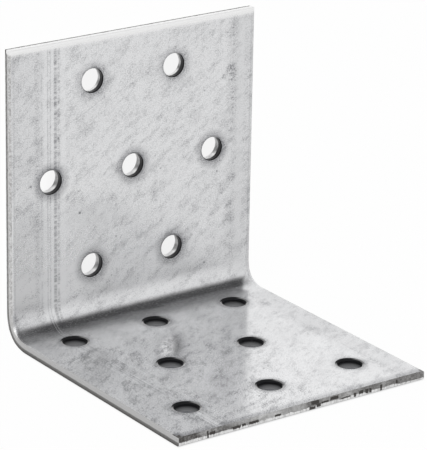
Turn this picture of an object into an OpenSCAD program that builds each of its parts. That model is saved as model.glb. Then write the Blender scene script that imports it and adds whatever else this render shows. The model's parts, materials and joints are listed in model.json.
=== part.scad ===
// Corner brace bracket, folded from one piece of punched galvanised strip.
//
// The strip is punched in staggered rows, cut to length and folded once. The foot leg lies flat
// and reaches towards -Y, the upright leg stands at its +Y end with its back facing +Y.
// X runs along the fold, Z is up. The origin is under the middle of the whole bracket, on the
// plane that it rests on.

/* [Strip] */
// Width of the strip, which is the bracket's length along the fold
strip_w = 60; // [40:1:120]
// Thickness of the sheet
sheet_t = 2; // [1.5:0.1:3]
// Radius on the inside of the fold
fold_r = 5.3; // [2:0.1:8]

/* [Legs] */
// Height of the upright leg over the underside of the foot leg
upright_h = 63; // [45:1:120]
// Length of the foot leg from the back of the upright leg
foot_l = 62; // [45:1:120]

/* [Punched holes] */
// Diameter of the parallel part of a hole
hole_d = 5; // [3:0.1:8]
// Distance between rows, and between neighbouring holes of one row
hole_pitch = 20; // [14:0.5:30]
// From the top edge of the upright leg to its first row
upright_margin = 9.3; // [7:0.1:14]
// From the free edge of the foot leg to its first row
foot_margin = 11; // [7:0.1:14]
// Least distance from the middle of a hole to a long side of the strip
side_margin = 8; // [7:0.5:12]
// How far all the rows sit off the middle of the strip, along X
row_shift = -0.4; // [-1:0.1:1]
// How far the rounded mouth of a hole reaches out from the hole
mouth_reach = 0.5; // [0.2:0.05:0.8]
// Smooth band in a hole, as a share of the thickness of the sheet
hole_land = 0.4; // [0.2:0.05:0.6]

/* [Sheared edges] */
// How far the rounded shoulder reaches in from an edge that a blade cut
shoulder_reach = 0.9; // [0.3:0.1:1.2]
// Smooth band on a cut edge, as a share of the thickness of the sheet
edge_land = 0.28; // [0.2:0.02:0.5]
// Depth of the rounded shoulders, as a share of the thickness of the sheet
shoulder_drop = 0.15; // [0.05:0.01:0.25]
// Slope of the broken band that ends each cut, in degrees
break_slope = 4; // [0:0.5:8]

/* [Hidden] */

fold_out = sheet_t + fold_r;      // outer radius of the fold, and where both legs turn flat
back_y = foot_l / 2;              // plane of the upright leg's back
hole_r = hole_d / 2;
drop = shoulder_drop * sheet_t;
arc_steps = 6;                    // flats in the quarter round of a shoulder
over = 1;                         // how far a cutting body stands out of the sheet

// A cut through the sheet as seen from the side: each point is how far the metal has drawn back
// from the nominal edge, and how deep it lies under the face that the tool went in at. A quarter
// ellipse is the rounded shoulder, a straight stretch the smooth band, a slope the broken band.
function cut_profile(reach, land) = concat(
    [for (i = [0:arc_steps])
        let (a = 90 * i / arc_steps)
        [reach * (1 - sin(a)), drop * (1 - cos(a))]],
    [[0, drop + land * sheet_t],
     [(sheet_t * (1 - land) - drop) * tan(break_slope), sheet_t]]
);

edge_cut = cut_profile(shoulder_reach, edge_land);
hole_cut = cut_profile(mouth_reach, hole_land);

// How many holes one row holds, and how many the shorter rows between them hold
long_row = floor((strip_w - 2 * side_margin) / hole_pitch) + 1;
short_row = max(long_row - 1, 1);

// How many rows fit between a leg's free edge and the fold, clear of the bent metal
function rows_in(leg, margin) =
    floor((leg - margin - fold_out - hole_r - mouth_reach) / hole_pitch) + 1;

upright_rows = rows_in(upright_h, upright_margin);
foot_rows = rows_in(foot_l, foot_margin);

// Middles of the holes of one row along X
function row_x(count) = [for (i = [0:count - 1]) row_shift + (i - (count - 1) / 2) * hole_pitch];

// The rows alternate all along the strip, so the foot leg starts at its free edge with a long
// row where the upright leg starts at its top with a short one.
function upright_count(row) = row % 2 == 0 ? short_row : long_row;
function foot_count(row) = row % 2 == 0 ? long_row : short_row;

// Section of the strip: X across it, and Y from its outer face up to its inner face, which is
// the one that the slitting knives went in at.
function strip_points() = concat(
    [for (p = edge_cut) [p[0] - strip_w / 2, sheet_t - p[1]]],
    [for (i = [len(edge_cut) - 1:-1:0]) [strip_w / 2 - edge_cut[i][0], sheet_t - edge_cut[i][1]]]
);

// The flat stretch of the upright leg
module upright_leg() {
    translate([0, back_y, fold_out])
        mirror([0, 1, 0])
            linear_extrude(upright_h - fold_out)
                polygon(strip_points());
}

// The flat stretch of the foot leg
module foot_leg() {
    translate([0, back_y - fold_out, 0])
        rotate([90, 0, 0])
            linear_extrude(foot_l - fold_out)
                polygon(strip_points());
}

// The quarter turn between them, with the same section bent about the fold's axis
module fold() {
    translate([0, back_y - fold_out, fold_out])
        rotate([0, 90, 0])
            rotate_extrude(angle = 90, $fn = 96)
                polygon([for (p = strip_points()) [fold_out - p[1], p[0]]]);
}

// A bar along X with the given section, its points being [y, z]
module bar_along_x(points) {
    rotate([90, 0, 90])
        translate([0, 0, -strip_w])
            linear_extrude(2 * strip_w)
                polygon(points);
}

// What the shear took off at the top of the upright leg, where it came down on the front
module top_offcut() {
    front_y = back_y - sheet_t;
    bar_along_x(concat(
        [[front_y - over, upright_h - shoulder_reach]],
        [for (p = edge_cut) [front_y + p[1], upright_h - p[0]]],
        [[back_y + over, upright_h - edge_cut[len(edge_cut) - 1][0]],
         [back_y + over, upright_h + over],
         [front_y - over, upright_h + over]]
    ));
}

// What it took off at the free edge of the foot leg, where it came through from underneath
module foot_offcut() {
    end_y = back_y - foot_l;
    bar_along_x(concat(
        [[end_y + shoulder_reach, -over]],
        [for (p = edge_cut) [end_y + p[0], p[1]]],
        [[end_y + edge_cut[len(edge_cut) - 1][0], sheet_t + over],
         [end_y - over, sheet_t + over],
         [end_y - over, -over]]
    ));
}

// The slug that the punch drove out: its mouth at z = 0, and the sheet below it
module slug() {
    exit_r = hole_r + hole_cut[len(hole_cut) - 1][0];
    rotate_extrude($fn = 64)
        polygon(concat(
            [[0, over], [hole_r + mouth_reach, over]],
            [for (p = hole_cut) [hole_r + p[0], -p[1]]],
            [[exit_r, -sheet_t - over], [0, -sheet_t - over]]
        ));
}

// All the holes of the upright leg, punched from its front
module upright_slugs() {
    for (row = [0:upright_rows - 1], x = row_x(upright_count(row)))
        translate([x, back_y - sheet_t, upright_h - upright_margin - row * hole_pitch])
            rotate([90, 0, 0])
                slug();
}

// All the holes of the foot leg, punched from above
module foot_slugs() {
    for (row = [0:foot_rows - 1], x = row_x(foot_count(row)))
        translate([x, back_y - foot_l + foot_margin + row * hole_pitch, sheet_t])
            slug();
}

module bracket() {
    color("lightgray")
        difference() {
            union() {
                upright_leg();
                fold();
                foot_leg();
            }
            top_offcut();
            foot_offcut();
            upright_slugs();
            foot_slugs();
        }
}

bracket();
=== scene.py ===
"""Dresses the corner brace bracket: one strip of galvanised sheet, punched, cut to length and folded.

The strip is modelled flat, with its holes and its sheared edges, and is folded at the end, in the
order in which the real one is made. A flat place is (across, along, depth) in millimetres: across
the strip from its middle, along it from the top edge of the upright leg, and depth under the face
that ends up inside the fold.
"""

import json
import logging
import math
from dataclasses import dataclass
from enum import Enum, IntEnum

import bmesh
import bpy
from mathutils import Matrix, Vector, noise


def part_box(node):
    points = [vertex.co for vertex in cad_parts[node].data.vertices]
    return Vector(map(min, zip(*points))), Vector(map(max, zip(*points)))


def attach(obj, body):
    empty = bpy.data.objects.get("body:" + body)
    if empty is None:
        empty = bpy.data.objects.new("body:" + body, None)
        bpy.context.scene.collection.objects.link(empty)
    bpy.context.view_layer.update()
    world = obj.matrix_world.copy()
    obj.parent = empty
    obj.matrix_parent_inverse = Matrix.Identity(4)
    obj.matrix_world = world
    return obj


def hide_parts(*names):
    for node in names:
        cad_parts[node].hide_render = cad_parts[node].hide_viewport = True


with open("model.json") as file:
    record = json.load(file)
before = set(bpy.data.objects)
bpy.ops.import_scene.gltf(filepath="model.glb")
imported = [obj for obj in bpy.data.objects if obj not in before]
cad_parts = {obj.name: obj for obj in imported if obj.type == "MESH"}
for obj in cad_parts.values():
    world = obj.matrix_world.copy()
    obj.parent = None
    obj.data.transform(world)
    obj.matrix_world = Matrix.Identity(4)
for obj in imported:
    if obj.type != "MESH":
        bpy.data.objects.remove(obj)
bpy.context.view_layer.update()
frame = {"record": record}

MM = 0.001
# Places of the net that are closer than this many millimetres are one place
SAME_PLACE = 1e-4
Triple = tuple[float, float, float]
Colour = Triple
log = logging.getLogger("bracket")


class Zone(IntEnum):
    """The finishes of the strip, in the order of the piece's material slots."""

    SKIN = 0
    SHEARED = 1
    PUNCHED = 2


class Entry(Enum):
    """The face of the sheet that a tool went in at."""

    INNER = "inner"
    OUTER = "outer"


def smooth(value: float, start: float, end: float) -> float:
    """Smooth step of a value.

    Args:
        value: The number to look at.
        start: Where the step begins.
        end: Where it ends, on either side of start.

    Returns:
        0 before start, 1 past end, and a smooth rise between them.
    """
    share = min(max((value - start) / (end - start), 0.0), 1.0)
    return share * share * (3.0 - 2.0 * share)


@dataclass(frozen=True)
class Cut:
    """How a tool leaves the metal along its cut: a rounded shoulder, a smooth land and a torn break.

    Attributes:
        reach: How far the shoulder reaches in from the cut, in mm.
        drop: How deep the shoulder goes, in mm.
        land: Depth of the smooth band under it, in mm.
        slope: Slope of the break, in degrees.
        ragged: How far the torn metal strays from that slope, in mm.
        entry: The face that the tool went in at.
    """

    reach: float
    drop: float
    land: float
    slope: float
    ragged: float
    entry: Entry = Entry.INNER

    def under_entry(self, depth: float, sheet_t: float) -> float:
        """Depth under the tool's own face.

        Args:
            depth: Depth under the inner face, in mm.
            sheet_t: Thickness of the sheet, in mm.

        Returns:
            The depth counted from the face that the tool went in at, in mm.
        """
        return depth if self.entry is Entry.INNER else sheet_t - depth

    def recess(self, under: float, place: Vector) -> float:
        """How far the metal has drawn back from the nominal cut.

        Args:
            under: Depth under the tool's own face, in mm.
            place: Flat place, which decides how the torn metal strays there.

        Returns:
            The recess in mm, never less than 0.
        """
        if under < self.drop:
            rise = 1.0 - under / self.drop
            return self.reach * (1.0 - math.sqrt(1.0 - rise * rise))
        torn = max(under - self.drop - self.land, 0.0)
        per_mm, smoothness, spacing, layers = 0.9, 0.6, 2.2, 4
        stray = 0.5 + 0.5 * noise.fractal(place * per_mm, smoothness, spacing, layers)
        begun = smooth(torn, 0.0, 0.25)
        return torn * math.tan(math.radians(self.slope)) + self.ragged * begun * max(stray, 0.0)


@dataclass(frozen=True)
class Hole:
    """A punched hole of the flat strip, in mm.

    Attributes:
        across: Middle of the hole across the strip.
        along: Middle of the hole along it.
        radius: Radius of its smooth land.
    """

    across: float
    along: float
    radius: float


@dataclass(frozen=True)
class Strip:
    """The sheet metal strip and its fold. All sizes are in mm.

    Attributes:
        width: Width of the strip.
        upright_h: Height of the upright leg over the underside of the foot leg.
        foot_l: Length of the foot leg from the back of the upright leg.
        back_y: Plane of the upright leg's back.
        sheet_t: Thickness of the sheet.
        fold_r: Radius on the inside of the fold.
        sag: How far the bent metal has moved out at both ends of the fold.
        sag_reach: How far in from those ends it has moved.
    """

    width: float
    upright_h: float
    foot_l: float
    back_y: float
    sheet_t: float = 2.0
    fold_r: float = 5.3
    sag: float = 0.45
    sag_reach: float = 4.5

    @classmethod
    def of_box(cls, low: Vector, high: Vector) -> "Strip":
        """The strip whose folded box is given, in metres."""
        size = (high - low) / MM
        return cls(width=size.x, upright_h=size.z, foot_l=size.y, back_y=high.y / MM)

    @property
    def fold_out(self) -> float:
        """Radius on the outside of the fold, and where both legs turn flat."""
        return self.fold_r + self.sheet_t

    @property
    def fold_mid(self) -> float:
        """Radius of the middle of the sheet in the fold."""
        return self.fold_r + self.sheet_t / 2

    @property
    def fold_start(self) -> float:
        """Where the fold begins along the strip."""
        return self.upright_h - self.fold_out

    @property
    def fold_end(self) -> float:
        """Where the fold ends along the strip."""
        return self.fold_start + self.fold_mid * math.pi / 2

    @property
    def length(self) -> float:
        """Length of the flat strip."""
        return self.fold_end + self.foot_l - self.fold_out

    def folded(self, flat: Vector) -> Vector:
        """Where a flat place ends up.

        Args:
            flat: Flat place in mm.

        Returns:
            The place on the folded bracket, in mm.
        """
        across, along, depth = flat
        axis_y = self.back_y - self.fold_out
        if along <= self.fold_start:
            return Vector((across, axis_y + self.fold_r + depth, self.upright_h - along))
        if along >= self.fold_end:
            return Vector((across, axis_y + self.fold_end - along, self.sheet_t - depth))
        turn = (along - self.fold_start) / self.fold_mid
        near_end = max(abs(across) - self.width / 2 + self.sag_reach, 0.0) / self.sag_reach
        radius = self.fold_r + depth + self.sag * near_end ** 2 * math.sin(2.0 * turn) ** 2
        return Vector((across, axis_y + radius * math.cos(turn), self.fold_out - radius * math.sin(turn)))

    def flat_hole(self, mount: dict) -> Hole:
        """The flat strip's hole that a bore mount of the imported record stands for.

        Args:
            mount: The mount's row.

        Returns:
            The hole in the flat strip.
        """
        x, y, z = (value / MM for value in mount["pos_m"])
        in_upright_leg = abs(mount["axis"][1]) > 0.5
        if in_upright_leg:
            along = self.upright_h - z
        else:
            along = self.fold_end + self.back_y - self.fold_out - y
        return Hole(across=x, along=along, radius=mount["dims"]["r_mm"])


class Value:
    """A number on its way through a shader tree. Arithmetic on it adds Math nodes."""

    def __init__(self, graph: "Graph", socket: bpy.types.NodeSocket) -> None:
        """Wraps an output socket of the graph."""
        self.graph = graph
        self.socket = socket

    def __add__(self, other: "Value | float") -> "Value":
        """self + other."""
        return self.graph.math("ADD", self, other)

    def __radd__(self, other: float) -> "Value":
        """other + self."""
        return self.graph.math("ADD", other, self)

    def __sub__(self, other: "Value | float") -> "Value":
        """self - other."""
        return self.graph.math("SUBTRACT", self, other)

    def __rsub__(self, other: float) -> "Value":
        """other - self."""
        return self.graph.math("SUBTRACT", other, self)

    def __mul__(self, other: "Value | float") -> "Value":
        """self * other."""
        return self.graph.math("MULTIPLY", self, other)

    def __rmul__(self, other: float) -> "Value":
        """other * self."""
        return self.graph.math("MULTIPLY", other, self)

    def __truediv__(self, other: float) -> "Value":
        """self / other."""
        return self.graph.math("DIVIDE", self, other)

    def __abs__(self) -> "Value":
        """Size of self without its sign."""
        return self.graph.math("ABSOLUTE", self)

    def step(self, start: "Value | float", end: "Value | float") -> "Value":
        """A smooth step of the value.

        Args:
            start: Where it gives 0.
            end: Where it gives 1, on either side of start.

        Returns:
            The step, from 0 to 1.
        """
        settings = {"interpolation_type": "SMOOTHSTEP"}
        inputs = {"Value": self, "From Min": start, "From Max": end}
        return self.graph.node("ShaderNodeMapRange", settings, inputs)

    def near(self, middle: "Value | float", outer: float, inner: float) -> "Value":
        """1 where the value is within inner of a middle, and 0 where it is further than outer from it."""
        return abs(self - middle).step(outer, inner)

    def towards(self, other: "Value | float", share: "Value") -> "Value":
        """The value where share is 0, and the other one where it is 1."""
        return self + share * (other - self)


class Graph:
    """A shader tree that is written as Python expressions."""

    def __init__(self, owner: bpy.types.Material | bpy.types.World) -> None:
        """Empties the owner's tree and takes it over."""
        owner.use_nodes = True
        self.tree = owner.node_tree
        self.tree.nodes.clear()

    def node(self, kind: str, settings: dict, inputs: dict, output: int | str = 0) -> Value:
        """Adds a node.

        Args:
            kind: The node's type.
            settings: Its own properties, which are set before its sockets.
            inputs: Values or links of its sockets, by name or number.
            output: The output socket to return.

        Returns:
            That output.
        """
        made = self.tree.nodes.new(kind)
        for name, value in settings.items():
            setattr(made, name, value)
        for name, value in inputs.items():
            if isinstance(value, Value):
                self.tree.links.new(value.socket, made.inputs[name])
            elif made.inputs[name].type == "RGBA":
                made.inputs[name].default_value = (*value, 1.0)
            else:
                made.inputs[name].default_value = value
        return Value(self, made.outputs[output] if made.outputs else None)

    def math(self, operation: str, *terms: Value | float) -> Value:
        """A Math node on the given terms."""
        return self.node("ShaderNodeMath", {"operation": operation}, dict(enumerate(terms)))

    def mix(self, share: Value, first: Value | Colour, second: Value | Colour) -> Value:
        """A colour between two.

        Args:
            share: 0 for the first and 1 for the second.
            first: A colour or a link to one.
            second: Another.

        Returns:
            The mixed colour.
        """
        colour_a, colour_b, colour_result = 6, 7, 2
        inputs = {0: share, colour_a: first, colour_b: second}
        return self.node("ShaderNodeMix", {"data_type": "RGBA"}, inputs, colour_result)

    def parts(self, vector: Value) -> tuple[Value, Value, Value]:
        """The three numbers of a vector."""
        split = self.node("ShaderNodeSeparateXYZ", {}, {"Vector": vector})
        outputs = split.socket.node.outputs
        return Value(self, outputs[0]), Value(self, outputs[1]), Value(self, outputs[2])


class Sheet:
    """The sheet as a finish sees it, with its places counted in mm on the flat strip.

    Attributes:
        graph: The finish's shader tree.
        flat: The flat place of the point that is shaded.
        across: How far across the strip it lies.
        along: How far along the strip.
        depth: How deep under the inner face.
    """

    def __init__(self, graph: Graph) -> None:
        """Reads the flat place that the mesh carries."""
        self.graph = graph
        self.flat = self.carried("flat")
        self.across, self.along, self.depth = graph.parts(self.flat)

    def carried(self, name: str) -> Value:
        """A vector that the mesh carries."""
        return self.graph.node("ShaderNodeAttribute", {"attribute_name": name}, {}, "Vector")

    def foot(self) -> Value:
        """1 on the foot leg and 0 on the upright leg."""
        return self.along.step(60.0, 66.0)

    def inner_face(self) -> Value:
        """1 on the inner face and 0 on the outer one."""
        return self.depth.step(1.0, 0.5)

    def noise(self, scale: Triple, detail: float = 3.0, rough: float = 0.5, turn: float = 0.0,
              shift: Triple = (0, 0, 0)) -> Value:
        """A cloudy pattern about 0.5.

        Args:
            scale: Its clouds in a millimetre, across, along and in depth.
            detail: How many finer clouds are laid over it.
            rough: How strong those are.
            turn: How far it is turned in the plane of the sheet, in degrees.
            shift: Which part of the endless pattern is taken.

        Returns:
            The pattern's value.
        """
        inputs = {"Vector": self.flat, "Rotation": (0.0, 0.0, math.radians(turn))}
        turned = self.graph.node("ShaderNodeMapping", {}, inputs)
        inputs = {"Vector": turned, "Scale": scale, "Location": shift}
        laid = self.graph.node("ShaderNodeMapping", {}, inputs)
        inputs = {"Vector": laid, "Scale": 1.0, "Detail": detail, "Roughness": rough}
        return self.graph.node("ShaderNodeTexNoise", {}, inputs)


@dataclass(frozen=True)
class Finish:
    """What all finishes of the bracket share.

    Attributes:
        name: Name of the material.
        colour: Its colour where it is clean.
        stain_and_shade: Its colour where it is darkest, both for dirt and for painted shade.
        roughness: Its roughness where it is clean.
        metallic: 1 for bare metal, and less for a dull layer on it.
        relief: How high its fine relief is, in mm.
    """

    name: str
    colour: Colour
    stain_and_shade: Colour
    roughness: float
    metallic: float
    relief: float

    def start(self) -> tuple[bpy.types.Material, Sheet]:
        """An empty material and the sheet that it is laid on."""
        material = bpy.data.materials.new(self.name)
        return material, Sheet(Graph(material))

    def stained_and_shaded(self, graph: Graph, stain_and_shade: Value, clean: Value | None = None) -> Value:
        """The colour where the finish is dirty and where it is painted darker as shade.

        Args:
            graph: The material's graph.
            stain_and_shade: 0 for clean and 1 for the darkest, both for dirt and for painted shade.
            clean: The clean colour where it isn't the same all over.

        Returns:
            The colour.
        """
        start = self.colour if clean is None else clean
        return graph.mix(graph.math("MINIMUM", stain_and_shade, 1.0), start, self.stain_and_shade)

    def end(self, graph: Graph, colour: Value, roughness: Value, height: Value) -> None:
        """Ends a finish in one metal shader.

        Args:
            graph: The material's graph.
            colour: Its colour.
            roughness: Its roughness.
            height: Height of its fine relief, from 0 to 1.
        """
        inputs = {"Height": height, "Strength": 1.0, "Distance": self.relief * MM}
        bump = graph.node("ShaderNodeBump", {}, inputs)
        inputs = {"Base Color": colour, "Metallic": self.metallic, "Roughness": roughness, "Normal": bump}
        shader = graph.node("ShaderNodeBsdfPrincipled", {}, inputs)
        graph.node("ShaderNodeOutputMaterial", {}, {"Surface": shader})


@dataclass(frozen=True)
class ZincSkin(Finish):
    """Satin zinc on both faces and on the rounded shoulders, with rolling marks, scuffs and drag lines, and
    with painted highlights and shade.

    Attributes:
        highlight_colour: The lighter colour of the painted highlight along the top edge of the upright leg,
            also mixed in where light is painted on its lower left.
        rub_and_shade: Its dark colour in the fold, where the band of painted shade lies.
        lines: Lines that the press's guides dragged: middle and half width in mm, strength, and how
            broken they are.
        stripes: Stripes that the guides polished: middle and half width, in mm.
        specks_and_shades: Spots on the inner face, a few of them painted shade: across, along, radius in mm,
            and strength.
        round_up_to: Radius up to which a spot is round and not ragged, in mm.
        scratch: Both ends of the long thin scratch on the upright leg, across and along.
        scratch_bow: How much it bows, in mm for a millimetre squared.
    """

    highlight_colour: Colour
    rub_and_shade: Colour
    lines: tuple[tuple[float, float, float, float], ...] = (
        (-22.65, 0.15, 0.55, 0.5),
        (-21.22, 0.11, 0.60, 0.2),
        (-20.58, 0.09, 0.60, 0.1),
        (24.70, 0.14, 0.35, 0.6),
    )
    stripes: tuple[tuple[float, float], ...] = ((-21.75, 0.35), (-20.02, 0.35), (-17.5, 0.5), (26.6, 0.8))
    specks_and_shades: tuple[tuple[float, float, float, float], ...] = (
        (-13.5, 37.2, 0.40, 0.90),
        (-4.5, 44.1, 0.35, 0.50),
        (-25.25, 29.3, 0.35, 0.60),
        (20.9, 34.5, 0.30, 0.50),
        (18.0, 54.5, 0.30, 0.50),
        (17.4, 16.1, 0.30, 0.50),
        (6.5, 31.2, 0.30, 0.40),
        (-5.6, 52.5, 0.30, 0.40),
        (-6.6, 90.6, 0.35, 0.80),
        (-5.3, 112.5, 0.35, 0.80),
        (-9.9, 111.0, 0.30, 0.50),
        (-26.0, 106.0, 0.35, 0.50),
        (24.2, 12.5, 1.80, 0.60),
        (22.4, 13.9, 0.90, 0.60),
        (24.8, 36.3, 1.60, 0.45),
        (24.2, 43.0, 1.40, 0.40),
        (25.0, 74.0, 1.10, 0.50),
        (23.3, 78.7, 1.10, 0.30),
        (-6.6, 100.8, 3.00, 0.40),
        (-23.9, 110.5, 1.90, 0.40),
        (24.4, 110.8, 1.80, 0.40),
        (-22.6, 114.5, 1.30, 0.35),
        # These five stand for a dark smear there, and are also painted shade that dims the reflection of the
        # upright leg's hole in the foot leg.
        (-22.6, 76.5, 1.60, 0.40),
        (-24.2, 79.5, 1.80, 0.45),
        (-26.0, 83.0, 1.80, 0.35),
        (-23.0, 77.0, 2.20, 0.35),
        (-22.2, 81.0, 2.60, 0.40),
        (-22.8, 95.6, 3.60, 0.40),
        (-1.8, 95.8, 3.20, 0.15),
        (-2.5, 82.0, 4.00, 0.12),
        (3.0, 9.5, 3.00, 0.25),
        (14.5, 21.5, 2.60, 0.20),
    )
    round_up_to: float = 0.5
    scratch: tuple[tuple[float, float], tuple[float, float]] = ((-18.0, 18.0), (-6.5, 12.5))
    scratch_bow: float = 0.012

    def dragged(self, sheet: Sheet) -> Value:
        """The lines that the guides of the press left along the strip.

        Args:
            sheet: The sheet.

        Returns:
            1 on a line and 0 off it.
        """
        total: Value | float = 0.0
        for middle, half_width, strength, broken in self.lines:
            line = sheet.across.near(middle, 2.0 * half_width, 0.5 * half_width)
            wear = sheet.noise((0.0, 0.35, 0.0), detail=4.0, shift=(middle, 0, 0))
            total = total + line * strength * wear.step(0.25 + 0.35 * broken, 0.4 + 0.35 * broken)
        return total

    def polished(self, sheet: Sheet) -> Value:
        """The lighter stripes beside the drag lines, where the guides have polished the zinc.

        Args:
            sheet: The sheet.

        Returns:
            1 on a stripe and 0 off it.
        """
        total: Value | float = 0.0
        for middle, half_width in self.stripes:
            total = total + sheet.across.near(middle, 1.6 * half_width, 0.7 * half_width)
        return total

    def smudged(self, sheet: Sheet) -> Value:
        """Two columns of dark strokes along the strip, where something greasy has been rubbing on it.

        Args:
            sheet: The sheet.

        Returns:
            1 on a stroke and 0 off it.
        """
        across = sheet.across
        strokes = sheet.noise((0.0, 0.9, 0.0), detail=3.0, rough=0.65, shift=(3, 9, 0)).step(0.34, 0.62)
        others = sheet.noise((0.0, 0.7, 0.0), detail=4.0, rough=0.7, shift=(5, 4, 0)).step(0.4, 0.62)
        flecks = sheet.noise((2.4, 2.4, 0.0), detail=5.0, rough=0.75, shift=(8, 3, 0)).step(0.47, 0.6)
        runs = sheet.noise((0.05, 0.16, 0.0), detail=3.0, rough=0.6, shift=(7, 1, 0))
        left = 0.68 * across.near(-19.4, 0.5, 0.2) * strokes
        left = left + 0.45 * across.near(-18.6, 0.4, 0.15) * others
        left = left + 0.35 * across.near(-23.7, 0.9, 0.2) * flecks
        left = left * (0.65 + 0.35 * runs.step(0.4, 0.5))
        in_fold = sheet.along.step(59.0, 62.0)
        right = across.near(24.5, 2.2, 0.1) * runs.step(0.47, 0.6) * flecks
        return left * (1.0 - 0.75 * in_fold) + 0.55 * right

    def threads(self, sheet: Sheet) -> Value:
        """The fine parallel scratches along the left of the foot leg.

        Args:
            sheet: The sheet.

        Returns:
            Up to about 0.3 on a dark thread, down to -0.3 on a light one, and 0 off them.
        """
        threads = sheet.noise((5.0, 0.04, 0.0), detail=4.0, rough=0.75, shift=(4, 2, 0))
        where = sheet.across.near(-19.9, 3.0, 1.2) * sheet.along.step(57.0, 61.0)
        bare_end = sheet.across.near(-20.4, 0.9, 0.5) * sheet.along.step(111.8, 113.0)
        return (threads - 0.5) * where * 2.0 - 0.3 * bare_end

    def spotted_and_shaded(self, sheet: Sheet) -> Value:
        """The small and large dark spots that the bracket has picked up, and a few spots of painted shade.

        Args:
            sheet: The sheet.

        Returns:
            1 in the middle of a spot and 0 off it.
        """
        ragged = sheet.noise((2.1, 2.1, 0.0), detail=5.0, rough=0.75, shift=(1, 6, 0)).step(0.42, 0.6)
        total: Value | float = 0.0
        for across, along, radius, strength in self.specks_and_shades:
            ends = {0: sheet.flat, 1: (across, along, 0.0)}
            away = sheet.graph.node("ShaderNodeVectorMath", {"operation": "DISTANCE"}, ends, "Value")
            spot = away.step(radius, 0.35 * radius) * strength
            total = total + (spot if radius < self.round_up_to else spot * ragged)
        return total

    def scratched(self, sheet: Sheet) -> Value:
        """The long thin scratch on the upright leg.

        Args:
            sheet: The sheet.

        Returns:
            1 on the scratch and 0 off it.
        """
        start, end = (Vector(place) for place in self.scratch)
        way = (end - start).normalized()
        half = (end - start).length / 2
        across, along = sheet.across - start.x, sheet.along - start.y
        run = across * way.x + along * way.y - half
        bow = (run * run - half * half) * self.scratch_bow
        off = across * -way.y + along * way.x + bow
        return off.near(0.0, 0.17, 0.05) * run.near(0.0, half, half - 2.0) * sheet.inner_face()

    def fold_shade(self, sheet: Sheet) -> Value:
        """The dark band on the inside of the fold, a painted shade that stands for its dark reflection.

        Args:
            sheet: The sheet.

        Returns:
            1 on the band and 0 off it.
        """
        across = sheet.across
        waver = sheet.noise((0.25, 0.6, 0.0), detail=4.0)
        crumbs = sheet.noise((2.2, 3.0, 0.0), detail=4.0, rough=0.8, shift=(6, 2, 0)).step(0.48, 0.66)
        place = sheet.along + (waver - 0.5) * 0.5
        begun = place.step(59.6, 61.3)
        faded = 67.0 + 1.2 * across.step(-10.0, 0.0)
        band = 0.9 - 0.12 * place.step(62.2, 63.2) - 0.7 * place.step(63.4, faded)
        band = begun * (band - 0.08 * place.step(67.5, 70.5))
        right_end = (across + (place - 62.0) * 0.6).step(27.6, 26.0)
        left_end = 0.84 + 0.16 * across.step(-29.0, -22.0)
        band = band * right_end * left_end * sheet.inner_face() * (1.0 - 0.3 * crumbs)
        for light_line in (-20.9, -20.35):
            band = band * (1.0 - 0.35 * across.near(light_line, 0.14, 0.05))
        return band

    def toned(self, sheet: Sheet, foot: Value, bend: Value, reflected_shade: Value) -> Value:
        """The wide soft differences in tone over the sheet, among them painted shade on the foot leg past the
        fold and a painted highlight in the fold.

        Args:
            sheet: The sheet.
            foot: 1 on the foot leg and 0 on the upright one.
            bend: 1 in the fold.
            reflected_shade: 1 on the left part of the foot leg, where shade is painted as it mirrors the
                upright leg.

        Returns:
            How much darker the zinc is there, less than 0 where it is lighter.
        """
        across, along = sheet.across, sheet.along
        middle = across.step(-6.0, 2.0)
        past_fold = along.step(63.0, 66.0) * along.step(73.0, 69.0) * across.step(23.0, 20.0)
        front_left = along.step(102.0, 109.0) * across.step(-9.0, -15.0)
        upright_right = across.step(17.0, 21.0) * along.step(28.0, 38.0) * (1.0 - foot)
        foot_back = along.step(66.0, 70.0) * along.step(100.0, 86.0)
        # Painted shade on the foot leg just past the fold, and a painted highlight in the fold, both right of
        # the strip's middle.
        tone = 0.1 * middle * past_fold - 0.06 * middle * bend
        tone = tone + 0.05 * front_left + 0.05 * upright_right - 0.05 * reflected_shade
        # Painted shade on the back part of the foot leg, stronger on its left.
        return tone + (0.07 + 0.1 * across.step(-22.0, -27.0)) * foot_back + 0.03 * foot

    def edged(self, sheet: Sheet, foot: Value, bend: Value, waver: Value) -> Value:
        """The darker zinc along the sheet's own edges, with painted shade that dims the highlights at the
        foot leg's front left corner and at the fold's left end.

        Args:
            sheet: The sheet.
            foot: 1 on the foot leg and 0 on the upright one.
            bend: 1 in the fold.
            waver: A pattern about 0 by which the line of the sides wavers.

        Returns:
            How much darker the zinc is there.
        """
        across, along = sheet.across, sheet.along
        foot_end = along.step(117.9, 119.8)
        side = (abs(across) + waver * 0.3).near(29.2, 0.35, 0.1) * (1.0 - foot)
        # Painted shade that dims the highlights at the foot leg's front left corner and at the fold's left
        # end.
        corner = across.step(-28.2, -29.2) * (along.step(118.0, 119.0) + 0.3 * bend)
        borders = across.step(22.0, 25.5) + across.step(-20.5, -24.0) * (1.0 - 0.6 * foot)
        return 0.12 * borders + 0.15 * side + 0.45 * foot_end + 0.7 * corner

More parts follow.
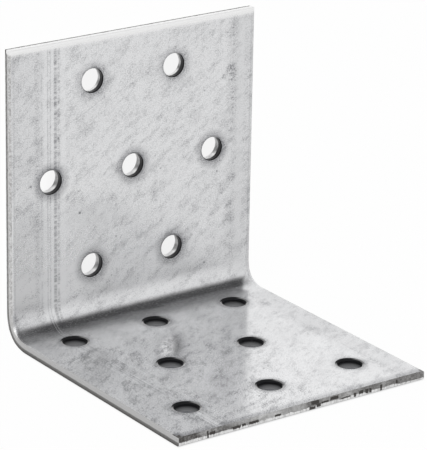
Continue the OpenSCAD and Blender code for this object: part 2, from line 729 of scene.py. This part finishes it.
    def build(self) -> bpy.types.Material:
        """Builds the material.

        Returns:
            The material.
        """
        material, sheet = self.start()
        graph, across, along = sheet.graph, sheet.across, sheet.along
        _, onward, off_edge = graph.parts(sheet.carried("off_hole"))
        clouds = sheet.noise((0.05, 0.09, 0.05), turn=35.0).step(0.4, 0.62)
        patches = sheet.noise((0.2, 0.42, 0.3), detail=8.0, rough=0.74, turn=38.0).step(0.46, 0.68)
        blots = sheet.noise((0.6, 0.9, 0.5), detail=7.0, rough=0.78, turn=36.0).step(0.46, 0.68)
        rolled = sheet.noise((0.8, 4.6, 1.0), detail=5.0, rough=0.78, turn=3.0)
        grain = sheet.noise((3.4, 5.0, 2.0), detail=1.5, rough=0.6)
        marks = rolled.step(0.48, 0.66)
        mottle = grain.step(0.4, 0.64)
        waver = rolled - 0.5
        bend = along.step(55.5, 58.0) * along.step(67.0, 64.0)
        foot = sheet.foot()
        # Painted shade on the left part of the foot leg, where it mirrors the upright leg: its zinc is
        # painted darker there and its mottling stronger.
        reflected_shade = across.step(20.0, -6.0) * along.step(71.0, 78.0)
        # Painted light on the lower left of the upright leg, where it mirrors the foot leg.
        bright = along.step(24.0, 50.0) * along.step(57.5, 54.0) * across.step(8.0, -20.0)
        bright = bright * (1.0 + 0.7 * across.step(-22.0, -25.0))
        halo = (off_edge + (grain - 0.5) * 2.0).step(2.4 - 0.5 * foot, 0.3) * (0.65 + 0.7 * mottle)
        halo_tone = 0.55 - 0.1 * foot - 0.2 * along.step(20.0, 16.0)
        forward = onward.step(-1.0, -0.3)
        rim = off_edge.step(0.62, 0.4) * (1.0 - 0.9 * foot * forward) * (0.2 + 0.6 * foot)
        lines = self.dragged(sheet)
        stain_and_shade = 0.3 * patches + (0.2 - 0.06 * foot) * blots + (0.12 - 0.07 * foot) * marks
        stain_and_shade = (stain_and_shade + 0.06 * clouds) * (1.0 + 0.9 * reflected_shade)
        speckle = (0.25 + 0.2 * patches + 0.2 * blots) * (1.0 - 0.45 * foot + 1.3 * reflected_shade)
        stain_and_shade = stain_and_shade + (mottle - 0.3) * speckle
        stain_and_shade = stain_and_shade * (1.0 - self.polished(sheet) * (0.45 - 0.35 * foot))
        stain_and_shade = graph.math("MAXIMUM", stain_and_shade + self.toned(sheet, foot, bend, reflected_shade) - 0.12 * bright, 0.0)
        stain_and_shade = stain_and_shade + self.edged(sheet, foot, bend, waver) + rim + halo_tone * halo
        stain_and_shade = stain_and_shade + 0.34 * lines + 0.95 * self.smudged(sheet)
        stain_and_shade = stain_and_shade + self.spotted_and_shaded(sheet) + 0.17 * self.scratched(sheet)
        stain_and_shade = graph.math("MAXIMUM", stain_and_shade + self.threads(sheet), 0.0)
        # Painted highlight along the top edge of the upright leg.
        top = (along + waver * 0.8).step(1.7, 0.6) * sheet.depth.step(1.0, 0.6)
        colour = self.stained_and_shaded(graph, stain_and_shade, graph.mix(0.45 * bright, self.colour, self.highlight_colour))
        colour = graph.mix(top, colour, self.highlight_colour)
        # Painted shade: the dark band in the fold takes the fold's dark colour.
        colour = graph.mix(self.fold_shade(sheet), colour, self.rub_and_shade)
        low_upright = (0.12 * along.step(30.0, 46.0) + 0.1 * along.step(46.0, 54.0)) * along.step(64.0, 59.0)
        foot_left = 0.14 * foot * across.step(-9.0, -19.0)
        roughness = self.roughness + low_upright + foot_left + 0.06 * patches + 0.05 * marks
        roughness = roughness + 0.15 * halo + 0.2 * top
        self.end(graph, colour, roughness, 0.6 * rolled + 0.15 * grain - 1.6 * lines)
        return material


@dataclass(frozen=True)
class ShearedSteel(Finish):
    """The long sides and both ends: a bright land with drag marks over torn steel.

    The torn metal is lighter on the upright leg and painted darker on the foot leg, as shade on its low
    sides. On the top face of the upright leg the cut is painted clean, as a painted highlight.

    Attributes:
        sheet_t: Thickness of the sheet, in mm.
        land: Where the land ends, in mm under the tool's own face.
        gouges: Gouges in the foot leg's end, in mm: where across, half width, where under its
            outer face, half height.
    """

    sheet_t: float
    land: float
    gouges: tuple[tuple[float, float, float, float], ...] = (
        (-23.1, 0.12, 0.90, 0.80),
        (-22.0, 0.60, 1.05, 0.25),
        (-16.4, 0.90, 0.85, 0.22),
        (-14.6, 0.40, 0.95, 0.20),
        (-12.2, 1.10, 0.95, 0.20),
        (-6.5, 0.60, 1.00, 0.15),
        (1.9, 0.70, 0.45, 0.35),
        (3.4, 0.45, 0.75, 0.30),
        (2.6, 0.90, 1.55, 0.30),
        (5.0, 0.80, 1.10, 0.12),
        (7.3, 0.90, 1.40, 0.25),
        (10.2, 1.10, 0.85, 0.10),
        (12.4, 0.25, 0.80, 0.35),
        (14.0, 0.40, 1.05, 0.30),
        (15.4, 0.35, 0.95, 0.40),
        (16.3, 0.22, 0.90, 0.40),
        (19.0, 0.17, 0.80, 0.60),
        (23.0, 0.18, 1.30, 0.30),
    )

    def build(self) -> bpy.types.Material:
        """Builds the material.

        Returns:
            The material.
        """
        material, sheet = self.start()
        across, along = sheet.across, sheet.along
        waver = sheet.noise((0.35, 0.35, 0.0), detail=6.0, rough=0.75) - 0.5
        crumbs = sheet.noise((1.6, 1.6, 1.8), detail=6.0, rough=0.75, shift=(2, 4, 0))
        patches = sheet.noise((0.16, 0.16, 0.3), detail=4.0, shift=(5, 0, 0)).step(0.5, 0.62)
        drag = sheet.noise((2.3, 2.3, 0.3), detail=4.0, rough=0.7)
        foot = along.step(52.0, 66.0)
        foot_end = along.step(117.0, 119.0) * abs(across).step(29.88, 29.84)
        foot_side = foot * (1.0 - foot_end)
        top = along.step(1.2, 0.6)
        right = foot_end * across.step(18.0, 29.0)
        under = sheet.depth + foot_end * (self.sheet_t - 2.0 * sheet.depth)
        border = under + waver * (0.25 + 1.1 * foot_end) + 0.3 * right - 0.25 * foot_side
        torn = border.step(self.land - 0.1, self.land + 0.06)
        back = (under + waver * (0.3 + 0.6 * top)).step(1.1 + 0.35 * top, 1.3 + 0.35 * top)
        # Painted highlight: on the top face of the upright leg the land and the torn metal are clean, all but
        # the back line.
        upright_torn = (0.3 + 0.2 * crumbs.step(0.45, 0.6)) * (1.0 - top) * 0.8 + back * (0.46 + 0.54 * top)
        upright_land = (0.22 + 0.35 * crumbs.step(0.4, 0.6)) * (1.0 - top)
        rub_and_shade = across.near(-5.5, 7.0, 4.5) + 0.6 * across.near(9.0, 6.0, 4.0)
        rub_and_shade = rub_and_shade - 0.6 * across.step(-14.0, -17.0)
        side_torn = 0.77 + 0.16 * under.step(0.9, 1.9) + 0.15 * (crumbs - 0.5)
        end_torn = 0.8 - 0.22 * patches * (1.0 - right) - 0.2 * rub_and_shade + 0.9 * (crumbs - 0.5)
        end_land = 0.06 + 0.35 * drag.step(0.44, 0.64)
        foot_land = 0.47 * (1.0 - foot_end) + end_land * foot_end
        # Painted shade: the foot leg's sides are darker than the upright leg's.
        at_torn = upright_torn.towards(side_torn.towards(end_torn, foot_end), foot)
        at_land = upright_land.towards(foot_land, foot)
        stain_and_shade = at_land.towards(at_torn, torn) + self.gouged(sheet, under, drag - 0.5) * foot_end
        height = torn * crumbs * (0.3 + 0.7 * foot_end) + (1.0 - torn) * drag * 0.2
        self.end(sheet.graph, self.stained_and_shaded(sheet.graph, stain_and_shade), self.roughness + 0.2 * torn, height)
        return material

    def gouged(self, sheet: Sheet, under: Value, drag: Value) -> Value:
        """The dark gouges in the foot leg's end.

        Args:
            sheet: The sheet.
            under: Depth under the outer face, in mm.
            drag: The pattern of the drag marks, about 0.

        Returns:
            1 in a gouge and 0 off it.
        """
        total: Value | float = 0.0
        for middle, half_width, depth, half_height in self.gouges:
            beside = (sheet.across + drag * 0.6).near(middle, half_width + 0.12, half_width - 0.02)
            level = (under + drag * 0.5).near(depth, half_height + 0.12, half_height - 0.05)
            total = total + beside * level
        return total


@dataclass(frozen=True)
class PunchedSteel(Finish):
    """The walls of the holes: a dark land, partly dark punched steel and partly painted shade, over lighter
    torn steel, with painted light on the mouths and low in the upright leg's holes.

    Attributes:
        land: Where the land ends, in mm under the inner face.
    """

    land: float

    def build(self) -> bpy.types.Material:
        """Builds the material.

        Returns:
            The material.
        """
        material, sheet = self.start()
        graph, under = sheet.graph, sheet.depth
        aside, onward, _ = graph.parts(sheet.carried("off_hole"))
        waver = sheet.noise((0.4, 0.4, 0.0), detail=3.0) - 0.5
        crumbs = sheet.noise((0.9, 0.9, 0.9), detail=4.0, rough=0.6)
        foot = sheet.foot()
        torn = (under + waver * 0.4).step(self.land + 0.05, self.land + 0.25)
        faded = 0.6 * under.step(self.land - 0.4, self.land + 0.4) + 0.35 * under.step(1.3, 2.2)
        torn = torn.towards(faded, foot)
        torn_lightness = 0.66 - 0.3 * onward.step(0.0, 0.4) - 0.16 * crumbs.step(0.45, 0.6)
        # Painted highlight: low in the upright leg's holes the torn band is painted nearly white.
        below = onward.step(0.45, 0.8)
        torn_lightness = torn_lightness.towards(1.0 - 0.15 * under.step(1.7, 1.95), below).towards(0.84, foot)
        mouth = under.step(0.4, 0.2)
        sides = (0.55 - 0.2 * aside.step(-0.5, 0.5)) * onward.step(-0.9, -0.4) * under.step(0.14, 0.06)
        foot_lit = graph.math("MAXIMUM", sides, 0.65 * onward.step(0.3, 0.8))
        upright_lit = 0.6 * (0.7 * aside + 0.7 * onward).step(0.1, -0.5)
        # The land keeps the dark colour: partly dark punched steel, partly painted shade inside the hole.
        stain_and_shade = 1.0 - torn * torn_lightness - mouth * upright_lit.towards(foot_lit, foot)
        roughness = self.roughness + 0.2 * torn + 0.6 * mouth
        self.end(graph, self.stained_and_shaded(graph, stain_and_shade), roughness, torn * crumbs)
        return material


@dataclass
class Bracket:
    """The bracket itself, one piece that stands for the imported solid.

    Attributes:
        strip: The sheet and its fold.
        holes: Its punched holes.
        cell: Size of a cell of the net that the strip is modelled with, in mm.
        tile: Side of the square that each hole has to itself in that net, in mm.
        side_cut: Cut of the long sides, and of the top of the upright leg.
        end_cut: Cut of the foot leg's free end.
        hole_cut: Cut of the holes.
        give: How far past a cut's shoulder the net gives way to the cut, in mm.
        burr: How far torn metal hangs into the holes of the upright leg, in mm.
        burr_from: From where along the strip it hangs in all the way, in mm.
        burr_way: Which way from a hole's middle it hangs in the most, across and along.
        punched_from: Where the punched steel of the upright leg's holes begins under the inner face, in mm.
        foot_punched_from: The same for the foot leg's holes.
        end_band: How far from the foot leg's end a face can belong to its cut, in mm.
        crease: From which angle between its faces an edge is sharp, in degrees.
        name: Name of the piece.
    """

    strip: Strip
    holes: list[Hole]
    cell: float = 0.5
    tile: float = 10.0
    side_cut: Cut = Cut(reach=0.9, drop=0.3, land=0.56, slope=4.0, ragged=0.05)
    end_cut: Cut = Cut(reach=0.9, drop=0.3, land=0.56, slope=4.0, ragged=0.06, entry=Entry.OUTER)
    hole_cut: Cut = Cut(reach=0.5, drop=0.3, land=0.8, slope=4.0, ragged=0.02)
    give: float = 2.0
    burr: float = 0.5
    burr_from: float = 25.0
    burr_way: Vector = Vector((0.8, 0.6))
    punched_from: float = 0.06
    foot_punched_from: float = 0.005
    end_band: float = 1.0
    crease: float = 42.0
    name: str = "bracket_sheet"

    def knots(self, low: float, high: float, middles: set[float]) -> list[float]:
        """Where the net's even stretches meet, in one direction.

        Args:
            low: The strip's first edge.
            high: Its last one.
            middles: Middles of the holes.

        Returns:
            The knots in order, the edges included.
        """
        found = {round(middle + side * self.tile / 2, 3) for middle in middles for side in (-1, 1)}
        return [low, *sorted(found), high]

    def cells(self, knots: list[float]) -> list[int]:
        """How many cells lie before each knot."""
        counts = [0]
        for low, high in zip(knots, knots[1:]):
            counts.append(counts[-1] + round((high - low) / self.cell))
        return counts

    @staticmethod
    def at(index: int, counts: list[int], knots: list[float]) -> float:
        """Place of a line of the net.

        Args:
            index: Number of the line.
            counts: Lines before each knot.
            knots: Places of the knots.

        Returns:
            The line's place in mm.
        """
        last = next(n for n, count in enumerate(counts) if count >= max(index, 1))
        share = (index - counts[last - 1]) / (counts[last] - counts[last - 1])
        return knots[last - 1] + share * (knots[last] - knots[last - 1])

    def levels(self) -> list[float]:
        """Depths of the rings round every cut, close together where a shoulder bends."""
        steps = 4
        bend = [self.side_cut.drop * (1 - math.cos(math.pi / 2 * n / steps)) for n in range(steps - 1)]
        straight = self.strip.sheet_t - 2 * self.side_cut.drop
        rings = 7
        middle = [self.side_cut.drop + straight * n / rings for n in range(rings + 1)]
        return bend + middle + [self.strip.sheet_t - depth for depth in reversed(bend)]

    def blank(self) -> bmesh.types.BMesh:
        """The flat strip as a net of cells, with square openings for the holes.

        Returns:
            A mesh whose vertices lie at their flat places, with the number of their ring as depth.
        """
        strip = self.strip
        half_width = strip.width / 2
        knots_across = self.knots(-half_width, half_width, {hole.across for hole in self.holes})
        knots_along = self.knots(0.0, strip.length, {hole.along for hole in self.holes})
        counts_across, counts_along = self.cells(knots_across), self.cells(knots_along)
        net = bmesh.new()
        bmesh.ops.create_grid(net, x_segments=counts_across[-1], y_segments=counts_along[-1], size=1.0)
        for vert in net.verts:
            column = round((vert.co.x + 1) / 2 * counts_across[-1])
            row = round((vert.co.y + 1) / 2 * counts_along[-1])
            across = self.at(column, counts_across, knots_across)
            along = self.at(row, counts_along, knots_along)
            vert.co = (across, along, 0.0)
        slugs = [face for face in net.faces if self.opening(face.calc_center_median())]
        bmesh.ops.delete(net, geom=slugs, context="FACES")
        rings = len(self.levels()) - 1
        grown = bmesh.ops.extrude_face_region(net, geom=net.faces[:], use_keep_orig=True)
        lower = [item for item in grown["geom"] if isinstance(item, bmesh.types.BMVert)]
        bmesh.ops.translate(net, verts=lower, vec=(0.0, 0.0, float(rings)))
        upright = [edge for edge in net.edges if abs(edge.verts[0].co.z - edge.verts[1].co.z) > rings / 2]
        bmesh.ops.subdivide_edges(net, edges=upright, cuts=rings - 1, use_grid_fill=True)
        return net

    def opening(self, place: Vector) -> Hole | None:
        """The hole whose square opening holds a flat place, if any."""
        inside = [hole for hole in self.holes if self.reach_of(hole, place) < hole.radius - SAME_PLACE]
        return inside[0] if inside else None

    @staticmethod
    def reach_of(hole: Hole, place: Vector) -> float:
        """How far a flat place is from a hole's middle, counted along the net."""
        return max(abs(place.x - hole.across), abs(place.y - hole.along))

    def tile_of(self, place: Vector) -> Hole | None:
        """The hole whose tile holds a flat place, if any."""
        near = [hole for hole in self.holes if self.reach_of(hole, place) < self.tile / 2 - SAME_PLACE]
        return near[0] if near else None

    def rounded(self, place: Vector, hole: Hole, recess: float) -> Vector:
        """Moves a place of a hole's square tile so that the opening turns round.

        Args:
            place: Flat place on the net.
            hole: The hole in that tile.
            recess: How far the hole's edge has drawn back at this depth, in mm.

        Returns:
            The flat place on the punched strip.
        """
        half = self.tile / 2
        off = Vector((place.x - hole.across, place.y - hole.along))
        reach = max(abs(off.x), abs(off.y))
        square = off / reach
        grown = half - (half - reach) * (half - hole.radius - recess) / (half - hole.radius)
        if abs(square.x) >= abs(square.y):
            angle = math.pi / 4 * square.y
            ring = Vector((math.copysign(math.cos(angle), square.x), math.sin(angle)))
        else:
            angle = math.pi / 4 * square.x
            ring = Vector((math.sin(angle), math.copysign(math.cos(angle), square.y)))
        share = smooth(reach, half, hole.radius)
        moved = (square * (1 - share) + ring * share) * grown
        return Vector((hole.across + moved.x, hole.along + moved.y, place.z))

    def hung(self, place: Vector, hole: Hole) -> float:
        """How far torn metal hangs into a hole, which it does in the upright leg's lower rows.

        Args:
            place: Flat place on the net.
            hole: The hole in whose tile it lies.

        Returns:
            How far it hangs there, in mm.
        """
        if hole.along > self.strip.fold_start:
            return 0.0
        row = smooth(hole.along, self.strip.fold_r, self.burr_from)
        deep = smooth(place.z, self.hole_cut.drop + self.hole_cut.land, self.strip.sheet_t)
        off = Vector((place.x - hole.across, place.y - hole.along)).normalized()
        return self.burr * row * deep * max(off.dot(self.burr_way), 0.0)

    def shaped(self, place: Vector) -> Vector:
        """The finished flat place of a vertex of the net.

        Args:
            place: Its place on the net, with its true depth.

        Returns:
            The flat place.
        """
        strip = self.strip
        side_start = strip.width / 2 - self.side_cut.reach - self.give
        end_margin = self.end_cut.reach + self.give
        moved = place.copy()
        under = self.side_cut.under_entry(place.z, strip.sheet_t)
        hole = self.tile_of(place)
        if hole:
            recess = self.hole_cut.recess(under, place) - self.hung(place, hole)
            moved = self.rounded(place, hole, recess)
        draw = math.sqrt(smooth(abs(place.x), side_start, strip.width / 2))
        moved.x -= math.copysign(draw * self.side_cut.recess(under, place), place.x)
        if place.y < end_margin:
            moved.y += (1 - place.y / end_margin) * self.side_cut.recess(under, place)
        if place.y > strip.length - end_margin:
            share = 1 - (strip.length - place.y) / end_margin
            moved.y -= share * self.end_cut.recess(self.end_cut.under_entry(place.z, strip.sheet_t), place)
        return moved

    def off_hole(self, place: Vector) -> Vector:
        """Where a flat place lies from the nearest hole.

        Args:
            place: The flat place.

        Returns:
            How far it is across and along the strip from the hole's middle, in radii, and how far
            from its edge, in mm.
        """
        hole = min(self.holes, key=lambda each: math.hypot(place.x - each.across, place.y - each.along))
        aside, onward = place.x - hole.across, place.y - hole.along
        off_edge = math.hypot(aside, onward) - hole.radius
        return Vector((aside / hole.radius, onward / hole.radius, off_edge))

    def build(self) -> bpy.types.Object:
        """Builds the bracket.

        Returns:
            The finished piece.
        """
        net = self.blank()
        levels = self.levels()
        flat_layer = net.verts.layers.float_vector.new("flat")
        hole_layer = net.verts.layers.float_vector.new("off_hole")
        for vert in net.verts:
            place = Vector((vert.co.x, vert.co.y, levels[round(vert.co.z)]))
            moved = self.shaped(place)
            vert[flat_layer] = moved
            vert[hole_layer] = self.off_hole(moved)
            vert.co = moved
        self.zone_faces(net, flat_layer)
        for vert in net.verts:
            vert.co = self.strip.folded(vert[flat_layer])
        bmesh.ops.scale(net, vec=(MM, MM, MM), verts=net.verts[:])
        bmesh.ops.recalc_face_normals(net, faces=net.faces[:])
        for face in net.faces:
            face.smooth = True
        for edge in net.edges:
            edge.smooth = edge.calc_face_angle(0.0) < math.radians(self.crease)
        mesh = bpy.data.meshes.new(self.name)
        net.to_mesh(mesh)
        net.free()
        piece = bpy.data.objects.new(self.name, mesh)
        bpy.context.scene.collection.objects.link(piece)
        self.dress(piece)
        return piece

    def zone_faces(self, net: bmesh.types.BMesh, flat_layer: bmesh.types.BMLayerItem) -> None:
        """Gives each face of the flat strip the slot of its finish.

        Args:
            net: The flat strip.
            flat_layer: Its flat places.
        """
        zinc_down_to = 0.5 * self.side_cut.drop
        for face in net.faces:
            depths = [vert[flat_layer].z for vert in face.verts]
            if max(depths) - min(depths) < SAME_PLACE:
                continue
            middle = face.calc_center_median()
            at_end = middle.y > self.strip.length - self.end_band
            under = self.strip.sheet_t - middle.z if at_end else middle.z
            hole = self.tile_of(middle)
            mouth = self.foot_punched_from if middle.y > self.strip.fold_end else self.punched_from
            if under < (mouth if hole else zinc_down_to):
                continue
            face.material_index = Zone.PUNCHED if hole else Zone.SHEARED

    def finishes(self) -> tuple[ZincSkin, ShearedSteel, PunchedSteel]:
        """The finishes, in the order of the zones.

        Returns:
            The zinc skin, the sheared steel and the punched steel.
        """
        skin = ZincSkin("zinc_skin", colour=(0.86, 0.864, 0.873), stain_and_shade=(0.27, 0.272, 0.285), roughness=0.14,
                        metallic=0.8, relief=0.0035, highlight_colour=(0.97, 0.97, 0.97), rub_and_shade=(0.05, 0.05, 0.054))
        sheared = ShearedSteel("sheared_steel", colour=(0.96, 0.96, 0.96), stain_and_shade=(0.075, 0.07, 0.066),
                               roughness=0.4, metallic=0.8, relief=0.06, sheet_t=self.strip.sheet_t,
                               land=self.side_cut.drop + self.side_cut.land)
        punched = PunchedSteel("punched_steel", colour=(0.96, 0.96, 0.96), stain_and_shade=(0.03, 0.03, 0.032),
                               roughness=0.35, metallic=0.8, relief=0.05,
                               land=self.hole_cut.drop + self.hole_cut.land)
        return skin, sheared, punched

    def dress(self, piece: bpy.types.Object) -> None:
        """Puts the finishes on the piece and hands it over to the frame.

        Args:
            piece: The finished piece.
        """
        for finish in self.finishes():
            piece.data.materials.append(finish.build())
        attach(piece, "root")
        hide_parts("bracket")
        log.info("%s: %d faces", piece.name, len(piece.data.polygons))


@dataclass(frozen=True)
class Studio:
    """The camera, the white floor and the soft light round the bracket.

    Attributes:
        azimuth: Which side the camera stands on, in degrees.
        elevation: How far it looks down, in degrees.
        roll: How far it is turned about its own line of sight, in degrees.
        distance: From the camera to its aim, in metres.
        aim: The point that it looks at.
        lens: Focal length for a picture as high as picture_h, both in mm.
        picture_h: Height of that picture.
        clip: Nearest and furthest that it sees, in metres.
        floor_half: Half the side of the floor, in metres.
        floor_gap: How far the floor lies under the bracket, in mm.
        lamp_place: Middle of the lamp, which faces the bracket, in metres.
        lamp_size: Side of the lamp, in metres.
        lamp_power: Power of the lamp, in watts.
    """

    azimuth: float = -35.651
    elevation: float = 20.131
    roll: float = 1.03
    distance: float = 0.59335
    aim: Vector = Vector((0.000305, 0.0010895, 0.0290537))
    lens: float = 237.115
    picture_h: float = 36.0
    clip: tuple[float, float] = (0.01, 50.0)
    floor_half: float = 6.0
    floor_gap: float = 0.02
    lamp_place: Vector = Vector((-0.9, -0.7, 1.2))
    lamp_size: float = 1.0
    lamp_power: float = 8.0

    def camera(self) -> None:
        """Places the camera."""
        data = bpy.data.cameras.new("camera")
        data.sensor_fit = "VERTICAL"
        data.sensor_height = self.picture_h
        data.lens = self.lens
        data.clip_start, data.clip_end = self.clip
        camera = bpy.data.objects.new("camera", data)
        turn = (Matrix.Rotation(math.radians(self.azimuth), 4, "Z")
                @ Matrix.Rotation(math.radians(90.0 - self.elevation), 4, "X")
                @ Matrix.Rotation(math.radians(self.roll), 4, "Z"))
        camera.matrix_world = Matrix.Translation(self.aim) @ turn @ Matrix.Translation((0, 0, self.distance))
        bpy.context.scene.collection.objects.link(camera)
        bpy.context.scene.camera = camera

    def floor(self) -> None:
        """Lays the white floor."""
        sheet = bmesh.new()
        bmesh.ops.create_grid(sheet, x_segments=1, y_segments=1, size=self.floor_half)
        bmesh.ops.translate(sheet, verts=sheet.verts[:], vec=(0.0, 0.0, -self.floor_gap * MM))
        mesh = bpy.data.meshes.new("floor")
        sheet.to_mesh(mesh)
        sheet.free()
        mesh.materials.append(self.floor_paint())
        floor = bpy.data.objects.new("floor", mesh)
        bpy.context.scene.collection.objects.link(floor)

    def floor_paint(self) -> bpy.types.Material:
        """The floor's paint: white, with a painted shadow under the bracket, and dimmer where the bracket
        hides it, as a painted shadow behind the bracket.

        Returns:
            The material.
        """
        material = bpy.data.materials.new("white_floor")
        graph = Graph(material)
        rays = graph.node("ShaderNodeLightPath", {}, {}).socket.node.outputs
        seen = Value(graph, rays["Is Camera Ray"])
        mirrored = Value(graph, rays["Is Glossy Ray"]) + Value(graph, rays["Is Transmission Ray"])
        place = graph.node("ShaderNodeTexCoord", {}, {}, "Object")
        x, y, _ = graph.parts(place)
        x_mm, y_mm = x / MM, y / MM
        low, high = (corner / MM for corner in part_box("bracket"))
        middle, half_width = (high.x + low.x) / 2, (high.x - low.x) / 2
        beside = abs(x_mm - middle).step(half_width - 1.5, half_width + 0.5)
        before = y_mm.step(low.y + 1.5, low.y - 0.5)
        past = y_mm.step(high.y - 8.5, high.y - 5.5)
        clear = graph.math("MAXIMUM", beside, before + past)
        # The dark colour is a painted shadow on the floor under the bracket.
        paint = graph.mix(clear, (0.2, 0.205, 0.22), (0.8, 0.8, 0.8))
        # How far to the right the floor behind the bracket is hidden, for each millimetre that it lies back
        slant = 0.717
        behind = y_mm - high.y
        hidden = (x_mm - middle - behind * slant).near(0.0, half_width + 2.0, half_width - 6.0)
        hidden = hidden * behind.step(0.0, 12.0) * behind.step(172.0, 157.0)
        shaded = graph.node("ShaderNodeBsdfPrincipled", {}, {"Base Color": paint, "Roughness": 1.0})
        white = graph.node("ShaderNodeEmission", {}, {"Color": (1.0, 1.0, 1.0), "Strength": 1.0})
        # Where the bracket hides the floor behind it, the white is lessened as a painted shadow.
        share = (seen * (0.97 - 0.3 * hidden) + mirrored * 0.4) * clear
        mixed = graph.node("ShaderNodeMixShader", {}, {0: share, 1: shaded, 2: white})
        graph.node("ShaderNodeOutputMaterial", {}, {"Surface": mixed})
        return material

    def world(self) -> None:
        """Lights the room: white all round, less so in front, with a dark opening overhead on the right."""
        world = bpy.data.worlds.new("studio")
        bpy.context.scene.world = world
        graph = Graph(world)
        way = graph.node("ShaderNodeTexCoord", {}, {}, "Generated")
        seen = graph.node("ShaderNodeLightPath", {}, {}, "Is Camera Ray")
        x, y, z = graph.parts(way)
        # The opening ends at a plane that is tilted back by this much
        tilt = math.radians(108.0)
        near_half = (z * math.cos(tilt) + y * math.sin(tilt)).step(0.06, -0.06)
        opening = z.step(0.66, 0.84) * near_half * x.step(0.2, 0.36)
        ceiling = z.step(0.5, 0.9)
        left = x.step(0.0, -0.7)
        front = y.step(0.2, -0.5)
        low = z.step(0.3, 0.05)
        level = (1.0 - 0.3 * ceiling) * (1.0 - 0.2 * left) * (1.0 - 0.12 * front) * (1.0 - 0.1 * front * low)
        strength = graph.math("MAXIMUM", level * (1.0 - 0.6 * opening), seen)
        sky = graph.node("ShaderNodeBackground", {}, {"Color": (1.0, 1.0, 1.0), "Strength": strength})
        graph.node("ShaderNodeOutputWorld", {}, {"Surface": sky})

    def lamp(self) -> None:
        """Hangs a large soft lamp high on the left, in front of the bracket."""
        data = bpy.data.lights.new("soft_lamp", "AREA")
        data.shape = "SQUARE"
        data.size = self.lamp_size
        data.energy = self.lamp_power
        lamp = bpy.data.objects.new("soft_lamp", data)
        facing = self.lamp_place.to_track_quat("Z", "Y").to_matrix().to_4x4()
        lamp.matrix_world = Matrix.Translation(self.lamp_place) @ facing
        bpy.context.scene.collection.objects.link(lamp)

    def build(self) -> None:
        """Sets the whole studio up."""
        bpy.context.scene.view_settings.view_transform = "Standard"
        self.camera()
        self.floor()
        self.world()
        self.lamp()


def main() -> None:
    """Builds the studio and the bracket."""
    logging.basicConfig(level=logging.INFO, format="%(name)s: %(message)s")
    Studio().build()
    strip = Strip.of_box(*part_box("bracket"))
    bores = [mount for mount in frame["record"]["mounts"] if mount["kind"] == "bore"]
    bracket = Bracket(strip, [strip.flat_hole(mount) for mount in bores])
    log.info("%s is built", bracket.build().name)


if __name__ == "__main__":
    main()
